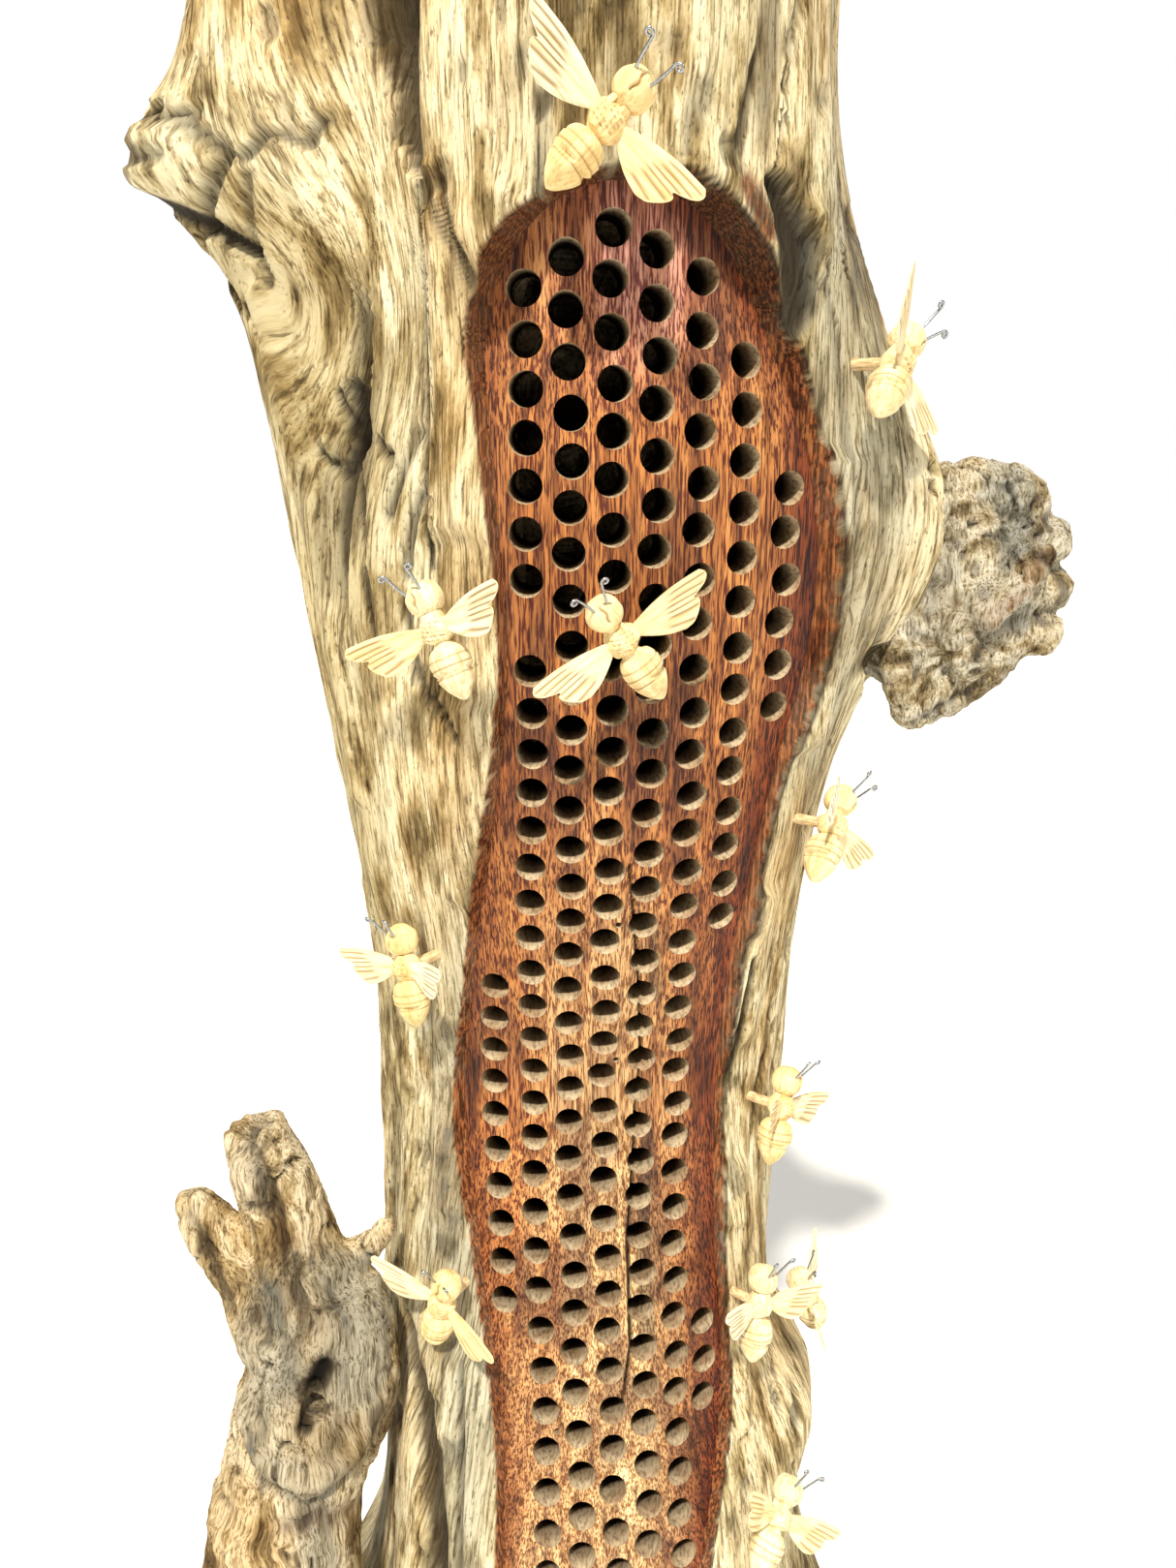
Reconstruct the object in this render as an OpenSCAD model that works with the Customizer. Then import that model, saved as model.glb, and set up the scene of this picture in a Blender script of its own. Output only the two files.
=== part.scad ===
// Insect hotel made from a weathered root trunk: a carved, drilled face of
// red heartwood, a forked side stem, and eleven carved bees on dowel pegs.
// Millimetres, +Z up, the drilled face looks towards -Y, the floor is z = 0.

/* [Trunk] */
// Height of the trunk
trunk_h = 1050; // [1000:10:1100]
// Depth of the carved face below the weathered surface
face_recess = 7; // [4:0.5:10]
// Extra depth of the carved face under its arch
arch_recess = 10; // [6:1:12]
// Height of the top of the carved arch
arch_top = 864; // [850:1:880]
// Height of the lower end of the carved face
face_foot = 130; // [120:1:150]

/* [Nest tubes] */
// Diameter of each nest tube
tube_d = 14; // [10:0.5:14.5]
// Depth of each nest tube
tube_depth = 34; // [20:1:36]
// Distance between the tubes of one column
tube_pitch = 18.8; // [18.4:0.2:24]
// Distance between the columns, round the face
column_pitch = 17.2; // [17:0.2:22]
// Least wood left between a tube and the rim of the face
rim_wall = 1.5; // [1:0.5:6]

/* [Bees] */
// Diameter of a bee's thorax
thorax_d = 14.4; // [13.5:0.1:15]
// Distance from a bee's middle to the wood behind it
stand_off = 17; // [16:0.5:20]
// Diameter of a bee's peg
peg_d = 5; // [4:0.5:5.5]
// Depth of a peg in the trunk
peg_depth = 16; // [12:1:20]
// Play of a peg in the trunk, on the radius
peg_play = 0.05; // [0.02:0.01:0.08]
// Length of a wing outside the thorax
wing_l = 34; // [28:1:36]
// Width of a wing
wing_w = 17.4; // [14:0.2:18]
// Thickness of a wing
wing_t = 2; // [1.6:0.1:2.4]
// Angle at which the wings rise from the thorax
wing_rise = 14; // [8:1:20]
// Diameter of the feeler wire
wire_d = 1.2; // [1:0.1:1.4]
// Length of a feeler outside the head
feeler_l = 15; // [12:1:18]

/* [Side stem] */
// Diameter of the round tenon under the side stem
tenon_d = 34; // [28:1:40]
// Length of that tenon
tenon_l = 36; // [28:1:40]

/* [Hidden] */
around = 72;
front = -84;
front_pinch = 28;
station = 75;
roundness = 2.3;
glue = 0.05;
fine = 48;

// Heights of the trunk's rings: closer together round the arch.
levels = concat(
  [for (k = [0:32]) 25 * k],
  [for (k = [1:7]) 800 + 12 * k],
  [for (k = [0:6]) 900 + 25 * k]);
// The trunk's outline at equal steps of height: left, right, front, back.
outline = [
  [-168, 158, -192, 128], [-148, 140, -182, 118], [-128, 126, -170, 110],
  [-120, 117, -150, 105], [-118, 105, -121, 102], [-115, 104, -97, 101],
  [-113, 108, -80, 102], [-114, 111, -86, 104], [-121, 117, -96, 105],
  [-131, 122, -102, 105], [-141, 124, -104, 104], [-153, 120, -105, 102],
  [-161, 106, -105, 99], [-158, 104, -102, 96], [-150, 102, -94, 90]
];
// The left and right edges of the carved face at the same steps, as angles round the trunk.
face_edges = [
  [-106, -72], [-106, -72], [-106, -72], [-107, -65], [-112, -52],
  [-124, -47], [-134, -43], [-127, -43], [-117, -40], [-110, -35],
  [-111, -37], [-115, -46], [-117, -49], [-117, -49], [-117, -49]
];
// Each bee: angle round the trunk, height of its peg, turn of its head to the right, rise of its peg.
bees = [
  [-87, 876, 45, 0], [-31, 800, 48, 0], [-118, 699, -25, 0], [-83, 695, -35, 0],
  [-32, 601, 44, 0], [-135, 536, -12, 0], [-34, 448, 24, 0], [-125, 360, 15, 0],
  [-46, 345, 19, 8], [-10, 286, -12, 18], [-51, 236, 46, 14]
];
// Half profile of a bee's body from brow to tail, as [radius, place], with the thorax at 0.
profile = [
  [0, 20.6], [3.4, 20.1], [5.9, 18.4], [7.4, 15.6], [7.8, 13], [7.2, 10.2], [5.6, 7.9], [3.9, 6.8],
  [4.6, 5.9], [6.4, 4.6], [7.2, 2.4], [7.2, -2], [6.3, -4.6], [4.2, -6.2], [4.1, -6.7],
  [6.6, -8], [8.2, -11], [8.6, -14.4], [8.1, -18], [6.8, -22], [4.7, -25.6], [2.1, -28.6], [0, -29.8]
];
// Pilot holes left between the tubes, by the row and column of the tube above each.
pilots = [[15, 0], [19, 0], [29, -2]];
pilot_d = 3;
stem_at = [-170, -92, 50];
seat_r = 52;
knot_d = 11;

// ---- helpers ----
function blend(p0, p1, p2, p3, t) =
  0.5 * (2 * p1 + (p2 - p0) * t + (2 * p0 - 5 * p1 + 4 * p2 - p3) * t * t
  + (3 * p1 - p0 - 3 * p2 + p3) * t * t * t);
function at(table, k) = table[min(max(k, 0), len(table) - 1)];
function along(table, u) =
  let (i = min(max(floor(u), 0), len(table) - 2))
  blend(at(table, i - 1), at(table, i), at(table, i + 1), at(table, i + 2), u - i);
function ease(x) = let (t = min(max(x, 0), 1)) t * t * (3 - 2 * t);
function turn(a) = (a + 900) % 360 - 180;
function lobe(a, z, a0, z0, wa, wz, h) = h * exp(-pow(turn(a - a0) / wa, 2) - pow((z - z0) / wz, 2));

// ---- trunk surface ----
function egg(a, z) =
  let (s = along(outline, z / station), c = abs(cos(a)), d = abs(sin(a)),
    ax = cos(a) > 0 ? s[1] : -s[0], by = sin(a) > 0 ? s[3] : -s[2])
  pow(pow(c / ax, roundness) + pow(d / by, roundness), -1 / roundness);
// The arch and the foot draw the edges of the carved face together.
function face_close(z) =
  sqrt(max(0, 1 - pow(max(0, (z - arch_top + 66) / 66), 2)))
  * sqrt(max(0, 1 - pow(max(0, (face_foot + 60 - z) / 60), 2)));
function face_span(z) =
  let (e = along(face_edges, z / station), m = (e[0] + e[1]) / 2, h = (e[1] - e[0]) / 2 * face_close(z))
  [m - h, m + h];
function face_in(a, z) =
  let (s = face_span(z)) ease((a - s[0]) / 5) * ease((s[1] - a) / 5);
function lobes(a, z) =
  lobe(a, z, 188, 880, 20, 40, 20) + lobe(a, z, 186, 884, 9, 18, 34)   // broken branch stub
  + lobe(a, z, -8, 730, 22, 78, 44)                                      // web that carries the burl
  + lobe(a, z, -12, 236, 26, 44, 20)                                     // low swelling on the right
  + lobe(a, 0, -152, 0, 24, 1, 105) * exp(-pow(z / 80, 4))  // root that carries the side stem
  - lobe(a, z, -131, 960, 7, 90, 26) - lobe(a, z, -124, 800, 4, 90, 9)   // cleft beside the left stem
  + 9 * pow(1 - min(z, 240) / 240, 2) * cos(5 * a + 40);                 // root ribs
function trunk_r(a, z) =
  egg(a, z) + lobes(a, z)
  - face_in(a, z) * (face_recess + arch_recess * ease((z - arch_top + 110) / 90));
function spot(a, z, out = 0) = let (r = trunk_r(a, z) + out) [r * cos(a), r * sin(a), z];
// The broken top, with a notch where the cleft runs out.
function top_edge(a) =
  trunk_h - 26 + 18 * cos(a - 30) + 8 * cos(3 * a + 20) - 30 * exp(-pow(turn(a + 131) / 9, 2));

// Closes a stack of rings, each with the same number of points, over two end points.
function stack_faces(sides, last) =
  let (n = sides * (last + 1)) concat(
    [for (k = [0:last - 1]) for (i = [0:sides - 1])
      let (j = (i + 1) % sides, b = k * sides, t = b + sides)
      each [[b + i, t + i, t + j], [b + i, t + j, b + j]]],
    [for (i = [0:sides - 1]) [n, i, (i + 1) % sides]],
    [for (i = [0:sides - 1]) [n + 1, last * sides + (i + 1) % sides, last * sides + i]]);

module trunk_blank() {
  last = len(levels) - 1;
  top_from = 0.86;
  pts = concat(
    [for (k = [0:last]) for (i = [0:around - 1])
      let (t = i * 360 / around, a = front + t - front_pinch * sin(t), s = levels[k] / levels[last],
        z = s * trunk_h + max(0, (s - top_from) / (1 - top_from)) * (top_edge(a) - trunk_h))
      spot(a, z)],
    [[0, 0, 0], [-8, 4, trunk_h - 48]]);
  polyhedron(pts, stack_faces(around, last));
}

// A closed lump with an uneven skin.
module lump(size, rough, seed, sides = 20, bands = 12) {
  function rad(a, e) = 1 + rough * (sin(2 * a + seed) * cos(3 * e)
    + 0.5 * sin(5 * a - 2 * seed + 40) * cos(e) + 0.4 * cos(4 * e + seed) * sin(a));
  pts = concat(
    [for (k = [1:bands - 1]) for (i = [0:sides - 1])
      let (e = k * 180 / bands - 90, a = i * 360 / sides, f = rad(a, e))
      [size[0] * f * cos(e) * cos(a), size[1] * f * cos(e) * sin(a), size[2] * f * sin(e)]],
    [[0, 0, -size[2]], [0, 0, size[2]]]);
  polyhedron(pts, stack_faces(sides, bands - 2));
}

// A tapering limb that follows a route of [x, y, z, radius], from the lowest point up.
module limb(route, depth = 0.8, sides = 14, per = 3) {
  steps = (len(route) - 1) * per;
  mids = [for (k = [0:steps]) along(route, k / per)];
  function xyz(m) = [m[0], m[1], m[2]];
  pts = concat(
    [for (k = [0:steps]) for (i = [0:sides - 1])
      let (q = xyz(mids[min(k + 1, steps)] - mids[max(k - 1, 0)]), d = q / norm(q),
        u = cross([0, 1, 0], d) / norm(cross([0, 1, 0], d)), v = cross(d, u), a = i * 360 / sides)
      xyz(mids[k]) + mids[k][3] * (1 + 0.07 * sin(3 * a + 31 * k)) * (cos(a) * u + depth * sin(a) * v)],
    [xyz(mids[0]), xyz(mids[steps])]);
  polyhedron(pts, stack_faces(sides, steps));
}

// ---- nest tubes ----
function shake(i, j, k) = sin(97 * i + 61 * j * j + 143 * k + 29 * i * j);
tube_r = tube_d / 2;
rows = floor((arch_top - face_foot) / tube_pitch);
function arc_deg(l, r) = l / r * 180 / PI;
function tube_at(i, j) =
  let (row = i + 0.5 * abs(j % 2),
    z = arch_top - 16 - row * tube_pitch + 1.8 * sin(50 * j + 11 * i) + 0.6 * shake(i, j, 0))
  [front + arc_deg(j * column_pitch + 0.8 * shake(i, j, 1), trunk_r(front, z)), z];
tubes = [for (i = [0:rows]) for (j = [-6:6])
  let (t = tube_at(i, j), a = t[0], z = t[1], s = face_span(z), r = trunk_r(front, z),
    edge = arc_deg(tube_r + rim_wall, r),
    peg_gap = min([for (b = bees) norm([turn(a - b[0]) * r * PI / 180, z - b[1]])]))
  if (a > s[0] + edge && a < s[1] - edge && z < arch_top - 12 && z > face_foot + 16
    && peg_gap > tube_r + peg_d / 2 + 1.5) t];
// Each tube leans with the surface, and points a little more to the front than the surface does.
function front_edge(z) = along(outline, z / station)[2];
function lean(z) = 0.85 * atan((front_edge(z + 12) - front_edge(z - 12)) / 24);
module aim(a, e) { rotate([0, 90 - e, a]) children(); }
fan = 0.4;
module nest_bores() {
  for (t = tubes)
    translate(spot(t[0], t[1]))
      aim(front + fan * (t[0] - front), lean(t[1]))
        translate([0, 0, -tube_depth]) cylinder(h = tube_depth + 24, d = tube_d, $fn = fine);
}

// ---- a bee: its own +Z points away from the trunk, +Y to its head, +X to its right wing ----
module at_bee(i) {
  b = bees[i - 1];
  translate(spot(b[0], b[1])) aim(b[0], b[3])
    translate([0, 0, stand_off]) rotate([0, 0, 90 - b[2]]) children();
}
module peg(play = 0, run = 0) {
  translate([0, 0, -stand_off - peg_depth])
    cylinder(h = stand_off + peg_depth + run, d = peg_d + 2 * play, $fn = fine);
}
module at_wing(side) {
  mirror([side < 0 ? 1 : 0, 0, 0])
    translate([thorax_d / 2 - 1, 0.6, 1.5]) rotate([0, -wing_rise, 0]) children();
}
wing_root = [3.2, 5, wing_t];
module wing_tab(play) {
  translate([-wing_root[0], -wing_root[1] / 2 - play, -wing_t / 2 - play])
    cube([wing_root[0] + 2, wing_root[1] + 2 * play, wing_t + 2 * play]);
}
// Along the wing from its root, straight at the front and fanning back, with a notch in its end.
function wing_outline() = let (l = wing_l / 34, w = wing_w / 17.4) [
  [0, 2.4 * w], [11.4 * l, 5.2 * w], [23.9 * l, 6.6 * w], [34.2 * l, 6.8 * w],
  [35.6 * l, 5.2 * w], [35.2 * l, 3.2 * w], [30.2 * l, 0], [26.8 * l, -1.3 * w],
  [27.8 * l, -3.8 * w], [25 * l, -7.4 * w], [21.6 * l, -9.8 * w], [17.5 * l, -10.6 * w],
  [8.4 * l, -6 * w], [0, -2.6 * w]
];
module at_feeler(side) { translate([side * 3, 15.4, 4.6]) rotate([-58, 0, -side * 14]) children(); }
module feeler_hole(play) { translate([0, 0, -2]) cylinder(h = 12, d = wire_d + 2 * play, $fn = 24); }

module bee_body(i) {
  color("wheat") at_bee(i) difference() {
    rotate([-90, 0, 0]) rotate_extrude($fn = fine) polygon(profile);
    peg(glue, 1.5);
    for (side = [-1, 1]) {
      at_wing(side) wing_tab(glue);
      at_feeler(side) feeler_hole(glue);
    }
  }
}
module bee_wing(i, side) {
  color("burlywood") at_bee(i) at_wing(side) union() {
    wing_tab(0);
    translate([1.5, 0, -wing_t / 2]) linear_extrude(wing_t) polygon(wing_outline());
  }
}
module bee_feelers(i) {
  loop_r = 1.4;
  color("silver") at_bee(i) for (side = [-1, 1]) at_feeler(side) union() {
    translate([0, 0, -2]) cylinder(h = feeler_l + 2 - 2 * loop_r, d = wire_d, $fn = 24);
    translate([0, 0, feeler_l - loop_r]) rotate([90, 0, 0])
      rotate_extrude($fn = 24) translate([loop_r, 0]) circle(d = wire_d, $fn = 24);
  }
}
module bee_peg(i) { color("peru") at_bee(i) peg(0, 1.5); }

module trunk() {
  color("tan") difference() {
    union() {
      trunk_blank();
      translate([192, -14, 699]) rotate([0, 18, 0]) lump([40, 36, 58], 0.1, 20);
    }
    nest_bores();
    for (q = pilots) {
      p = (tube_at(q[0], q[1]) + tube_at(q[0] + 1, q[1]) + tube_at(q[0], q[1] + 1)) / 3;
      translate(spot(p[0], p[1])) aim(p[0], 0) cylinder(h = 16, d = pilot_d, center = true, $fn = 24);
    }
    for (i = [1:len(bees)]) at_bee(i) peg(peg_play, -stand_off / 2);
    translate(stem_at) cylinder(h = 2 * seat_r, r = seat_r, $fn = fine);
    translate(stem_at - [0, 0, tenon_l]) cylinder(h = tenon_l + 1, d = tenon_d + 2 * glue, $fn = fine);
  }
}

module side_stem() {
  y = stem_at[1];
  color("darkkhaki") difference() {
    union() {
      limb([[-170, y, stem_at[2], 46], [-170, y, 110, 45], [-170, y, 166, 44],
        [-158, y, 236, 38.5], [-147, y + 2, 276, 41], [-139, y + 6, 315, 38.5],
        [-142, y + 12, 352, 35]]);
      limb([[-158, y + 6, 325, 27], [-174, y + 9, 360, 19],
        [-191, y + 10, 388, 15], [-201, y + 10, 409, 8]]);
      limb([[-146, y + 8, 335, 30], [-150, y + 12, 378, 23],
        [-158, y + 14, 415, 21], [-165, y + 14, 447, 16]]);
      limb([[-134, y + 12, 335, 21], [-124, y + 15, 362, 12],
        [-110, y + 16, 376, 7], [-103, y + 16, 386, 3.5]]);
      translate(stem_at - [0, 0, tenon_l]) cylinder(h = tenon_l + 10, d = tenon_d, $fn = fine);
    }
    // a knot hole in the stem's front
    translate([-136, y - 40, 304]) rotate([-90, 0, 0]) cylinder(h = 34, d = knot_d, $fn = 24);
  }
}

trunk();
side_stem();
for (i = [1:len(bees)]) {
  bee_body(i);
  bee_wing(i, -1);
  bee_wing(i, 1);
  bee_feelers(i);
  bee_peg(i);
}
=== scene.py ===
"""Insect hotel: a weathered root trunk with a carved, drilled heartwood face,
a forked side stem, and eleven carved bees on dowel pegs.

Sizes are in millimetres until a mesh is finished, which turns it to metres.
+Z is up, the drilled face looks towards -Y, and the floor is z = 0.
"""
import math

import bmesh
import bpy
import numpy as np
from mathutils import Matrix, Vector
from mathutils.kdtree import KDTree


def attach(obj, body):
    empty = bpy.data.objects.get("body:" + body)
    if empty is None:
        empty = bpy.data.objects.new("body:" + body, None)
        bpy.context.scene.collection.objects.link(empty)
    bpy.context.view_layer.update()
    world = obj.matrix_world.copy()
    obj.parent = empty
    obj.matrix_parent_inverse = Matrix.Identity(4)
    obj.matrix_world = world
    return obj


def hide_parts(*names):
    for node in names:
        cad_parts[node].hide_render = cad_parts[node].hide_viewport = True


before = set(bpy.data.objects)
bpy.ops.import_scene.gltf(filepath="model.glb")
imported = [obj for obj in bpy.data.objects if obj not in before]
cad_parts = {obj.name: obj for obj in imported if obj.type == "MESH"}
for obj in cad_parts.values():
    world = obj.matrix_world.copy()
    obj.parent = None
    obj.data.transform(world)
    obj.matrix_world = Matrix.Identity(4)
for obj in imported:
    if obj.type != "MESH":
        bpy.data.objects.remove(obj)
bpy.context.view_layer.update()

MM = 0.001
MERGE_GAP = 0.002
scene = bpy.context.scene

# ---------------------------------------------------------------- driving sizes
TRUNK_H = 1050.0
FACE_RECESS = 7.0
ARCH_RECESS = 10.0
ARCH_TOP = 864.0
FACE_FOOT = 130.0
TUBE_D = 14.0
TUBE_DEPTH = 34.0
TUBE_PITCH = 18.8
COLUMN_PITCH = 17.2
RIM_WALL = 1.5
FRONT = -84.0
FAN = 0.4
STATION = 75.0
ROUNDNESS = 2.3
PEG_D = 5.0
STAND_OFF = 17.0
THORAX_R = 7.2
WING_RISE = 14.0
WIRE_D = 1.2
# How far the drills run on outside the wood, and how far the shell lies below the face's panel.
BIT_RUN = 24.0
SHELL_DROP = 2.6
# The angle at the back where the shell's grid closes.
BACK_SEAM = 96.0

# The trunk's outline at equal steps of height: left, right, front, back.
OUTLINE = np.array([
    (-168, 158, -192, 128), (-148, 140, -182, 118), (-128, 126, -170, 110),
    (-120, 117, -150, 105), (-118, 105, -121, 102), (-115, 104, -97, 101),
    (-113, 108, -80, 102), (-114, 111, -86, 104), (-121, 117, -96, 105),
    (-131, 122, -102, 105), (-141, 124, -104, 104), (-153, 120, -105, 102),
    (-161, 106, -105, 99), (-158, 104, -102, 96), (-150, 102, -94, 90),
], float)
# The left and right edges of the carved face at the same steps, in degrees round the trunk.
FACE_EDGES = np.array([
    (-106, -72), (-106, -72), (-106, -72), (-107, -65), (-112, -52),
    (-124, -47), (-134, -43), (-127, -43), (-117, -40), (-110, -35),
    (-111, -37), (-115, -46), (-117, -49), (-117, -49), (-117, -49),
], float)
# Each bee: angle round the trunk, height of its peg, turn of its head to the right, rise of its peg.
BEES = [
    (-87, 876, 45, 0), (-31, 800, 48, 0), (-118, 699, -25, 0), (-83, 695, -35, 0),
    (-32, 601, 44, 0), (-135, 536, -12, 0), (-34, 448, 24, 0), (-125, 360, 15, 0),
    (-46, 345, 19, 8), (-10, 286, -12, 18), (-51, 236, 46, 14),
]
PILOT_D = 3.0
PILOTS = [(15, 0), (19, 0), (29, -2)]


# ---------------------------------------------------------------- numbers
def lattice(ix, iy, iz, seed):
    """A repeatable value from -1 to 1 for each whole-number place."""
    n = (ix * 1619 + iy * 31337 + iz * 6971 + seed * 1013) & 0x7FFFFFFF
    n = (n >> 13) ^ n
    n = (n * ((n * n * 60493 + 19990303) & 0x7FFFFFFF) + 1376312589) & 0x7FFFFFFF
    return 1.0 - n / 1073741824.0


def noise(p, seed=0):
    """Smooth noise from -1 to 1 at each row of p."""
    p = np.asarray(p, float)
    i = np.floor(p).astype(np.int64)
    f = p - i
    u = f * f * f * (f * (f * 6 - 15) + 10)
    total = 0.0
    for dx in (0, 1):
        wx = u[:, 0] if dx else 1 - u[:, 0]
        for dy in (0, 1):
            wy = u[:, 1] if dy else 1 - u[:, 1]
            for dz in (0, 1):
                wz = u[:, 2] if dz else 1 - u[:, 2]
                corner = lattice(i[:, 0] + dx, i[:, 1] + dy, i[:, 2] + dz, seed)
                total = total + wx * wy * wz * corner
    return total


def fbm(p, octaves, seed):
    total, size, power = 0.0, 1.0, 0.5
    for k in range(octaves):
        total = total + power * noise(p * size, seed + 7 * k)
        size, power = size * 2.03, power * 0.5
    return total


def drift(p, seed, rise):
    """A smooth push at each row of p, with its part along z scaled by rise."""
    return np.stack([noise(p, seed), noise(p, seed + 1), rise * noise(p, seed + 2)], -1)


def unit(x):
    """x kept from 0 to 1."""
    return np.clip(x, 0, 1)


def cosd(a):
    return np.cos(np.radians(a))


def sind(a):
    return np.sin(np.radians(a))


def ease(x):
    t = unit(x)
    return t * t * (3 - 2 * t)


def bump(x, width):
    return np.exp(-(x / width) ** 2)


def along(table, u):
    """A smooth curve through the rows of table, at each place u."""
    u = np.asarray(u, float)
    i = np.clip(np.floor(u).astype(int), 0, len(table) - 2)
    t = (u - i)[..., None]
    a, b, c, d = (table[np.clip(i + k, 0, len(table) - 1)] for k in (-1, 0, 1, 2))
    return 0.5 * (2 * b + (c - a) * t + (2 * a - 5 * b + 4 * c - d) * t * t
                  + (3 * b - a - 3 * c + d) * t ** 3)


def turn(a):
    return (a + 900) % 360 - 180


def lobe(a, z, a0, z0, wa, wz, h):
    return h * np.exp(-(turn(a - a0) / wa) ** 2 - ((z - z0) / wz) ** 2)


# ---------------------------------------------------------------- the trunk's shape, as in the CAD model
def egg(a, z):
    s = along(OUTLINE, z / STATION)
    c, d = cosd(a), sind(a)
    ax = np.where(c > 0, s[..., 1], -s[..., 0])
    by = np.where(d > 0, s[..., 3], -s[..., 2])
    return ((np.abs(c) / ax) ** ROUNDNESS + (np.abs(d) / by) ** ROUNDNESS) ** (-1 / ROUNDNESS)


def face_close(z):
    top = np.sqrt(np.clip(1 - np.clip((z - ARCH_TOP + 66) / 66, 0, None) ** 2, 0, None))
    foot = np.sqrt(np.clip(1 - np.clip((FACE_FOOT + 60 - z) / 60, 0, None) ** 2, 0, None))
    return top * foot


def face_middle(z):
    """Angle of the face's middle line, and half its width where its ends don't close."""
    e = along(FACE_EDGES, z / STATION)
    return (e[..., 0] + e[..., 1]) / 2, (e[..., 1] - e[..., 0]) / 2


def face_span(z):
    middle, half = face_middle(z)
    half = half * face_close(z)
    return middle - half, middle + half


def lobes(a, z):
    return (lobe(a, z, 188, 880, 20, 40, 20) + lobe(a, z, 186, 884, 9, 18, 34)
            + lobe(a, z, -8, 730, 22, 78, 44)
            + lobe(a, z, -12, 236, 26, 44, 20)
            + lobe(a, 0, -152, 0, 24, 1, 105) * np.exp(-(z / 80) ** 4)
            - lobe(a, z, -131, 960, 7, 90, 26) - lobe(a, z, -124, 800, 4, 90, 9)
            + 9 * (1 - np.minimum(z, 240) / 240) ** 2 * cosd(5 * a + 40))


def bark_r(a, z):
    """Radius of the uncarved trunk."""
    return egg(a, z) + lobes(a, z)


def carve_depth(z):
    return FACE_RECESS + ARCH_RECESS * ease((z - ARCH_TOP + 110) / 90)


def face_in(a, z):
    s0, s1 = face_span(z)
    return ease((a - s0) / 5) * ease((s1 - a) / 5)


def trunk_r(a, z):
    return bark_r(a, z) - face_in(a, z) * carve_depth(z)


def top_edge(a):
    return (TRUNK_H - 26 + 18 * cosd(a - 30) + 8 * cosd(3 * a + 20)
            - 30 * np.exp(-(turn(a + 131) / 9) ** 2))


def polar(a, z, r):
    return np.stack([r * cosd(a), r * sind(a), z + 0 * a], -1)


def spot(a, z, out=0.0):
    a, z = float(a), float(z)
    r = float(trunk_r(a, z)) + out
    return np.array([r * math.cos(math.radians(a)), r * math.sin(math.radians(a)), z])


def direction(a, e):
    a, e = math.radians(a), math.radians(e)
    return np.array([math.cos(a) * math.cos(e), math.sin(a) * math.cos(e), math.sin(e)])


# ---------------------------------------------------------------- nest tubes, as in the CAD model
def shake(i, j, k):
    return math.sin(math.radians(97 * i + 61 * j * j + 143 * k + 29 * i * j))


def arc_deg(length, r):
    return math.degrees(length / r)


def tube_at(i, j):
    z = (ARCH_TOP - 16 - (i + 0.5 * abs(j % 2)) * TUBE_PITCH
         + 1.8 * math.sin(math.radians(50 * j + 11 * i)) + 0.6 * shake(i, j, 0))
    return FRONT + arc_deg(j * COLUMN_PITCH + 0.8 * shake(i, j, 1), float(trunk_r(FRONT, z))), z


def nest_tubes():
    tubes = []
    for i in range(int((ARCH_TOP - FACE_FOOT) / TUBE_PITCH) + 1):
        for j in range(-6, 7):
            a, z = tube_at(i, j)
            s0, s1 = face_span(z)
            r = float(trunk_r(FRONT, z))
            edge = arc_deg(TUBE_D / 2 + RIM_WALL, r)
            gap = min(math.hypot(turn(a - b[0]) * r * math.pi / 180, z - b[1]) for b in BEES)
            if (s0 + edge < a < s1 - edge and FACE_FOOT + 16 < z < ARCH_TOP - 12
                    and gap > TUBE_D / 2 + PEG_D / 2 + 1.5):
                tubes.append((a, z))
    return tubes


def lean(z):
    front = along(OUTLINE, np.array([z + 12, z - 12]) / STATION)[:, 2]
    return 0.85 * math.degrees(math.atan((front[0] - front[1]) / 24))


# ---------------------------------------------------------------- meshes and pieces
def places(mesh):
    co = np.empty(len(mesh.vertices) * 3)
    mesh.vertices.foreach_get("co", co)
    return co.reshape(-1, 3)


def place(mesh, co):
    mesh.vertices.foreach_set("co", np.asarray(co, np.float32).ravel())
    mesh.update()


def normals(mesh):
    n = np.empty(len(mesh.vertices) * 3)
    mesh.vertices.foreach_get("normal", n)
    return n.reshape(-1, 3)


def mark(mesh, name, values):
    """Stores a number or a vector at each vertex, for the materials to read."""
    vector = np.ndim(values) == 2
    layer = mesh.attributes.new(name, "FLOAT_VECTOR" if vector else "FLOAT", "POINT")
    layer.data.foreach_set("vector" if vector else "value", np.asarray(values, np.float32).ravel())


def to_mesh(bm, name):
    mesh = bpy.data.meshes.new(name)
    bm.to_mesh(mesh)
    bm.free()
    return mesh


def grid(across, up):
    """A flat grid as a mesh, with the place of each vertex from 0 to 1 across and up."""
    bm = bmesh.new()
    bmesh.ops.create_grid(bm, x_segments=across, y_segments=up, size=1)
    mesh = to_mesh(bm, "grid")
    uv = places(mesh)[:, :2] / 2 + 0.5
    return mesh, np.rint(uv[:, 0] * across).astype(int), np.rint(uv[:, 1] * up).astype(int)


def close_up(bm, gap=MERGE_GAP):
    """Merges the doubles and turns the faces outwards."""
    bmesh.ops.remove_doubles(bm, verts=bm.verts, dist=gap)
    bmesh.ops.recalc_face_normals(bm, faces=bm.faces)


def joined(mesh, gap=MERGE_GAP):
    bm = bmesh.new()
    bm.from_mesh(mesh)
    close_up(bm, gap)
    bm.to_mesh(mesh)
    bm.free()
    return mesh


def into_scene(name, data):
    obj = bpy.data.objects.new(name, data)
    scene.collection.objects.link(obj)
    return obj


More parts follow.
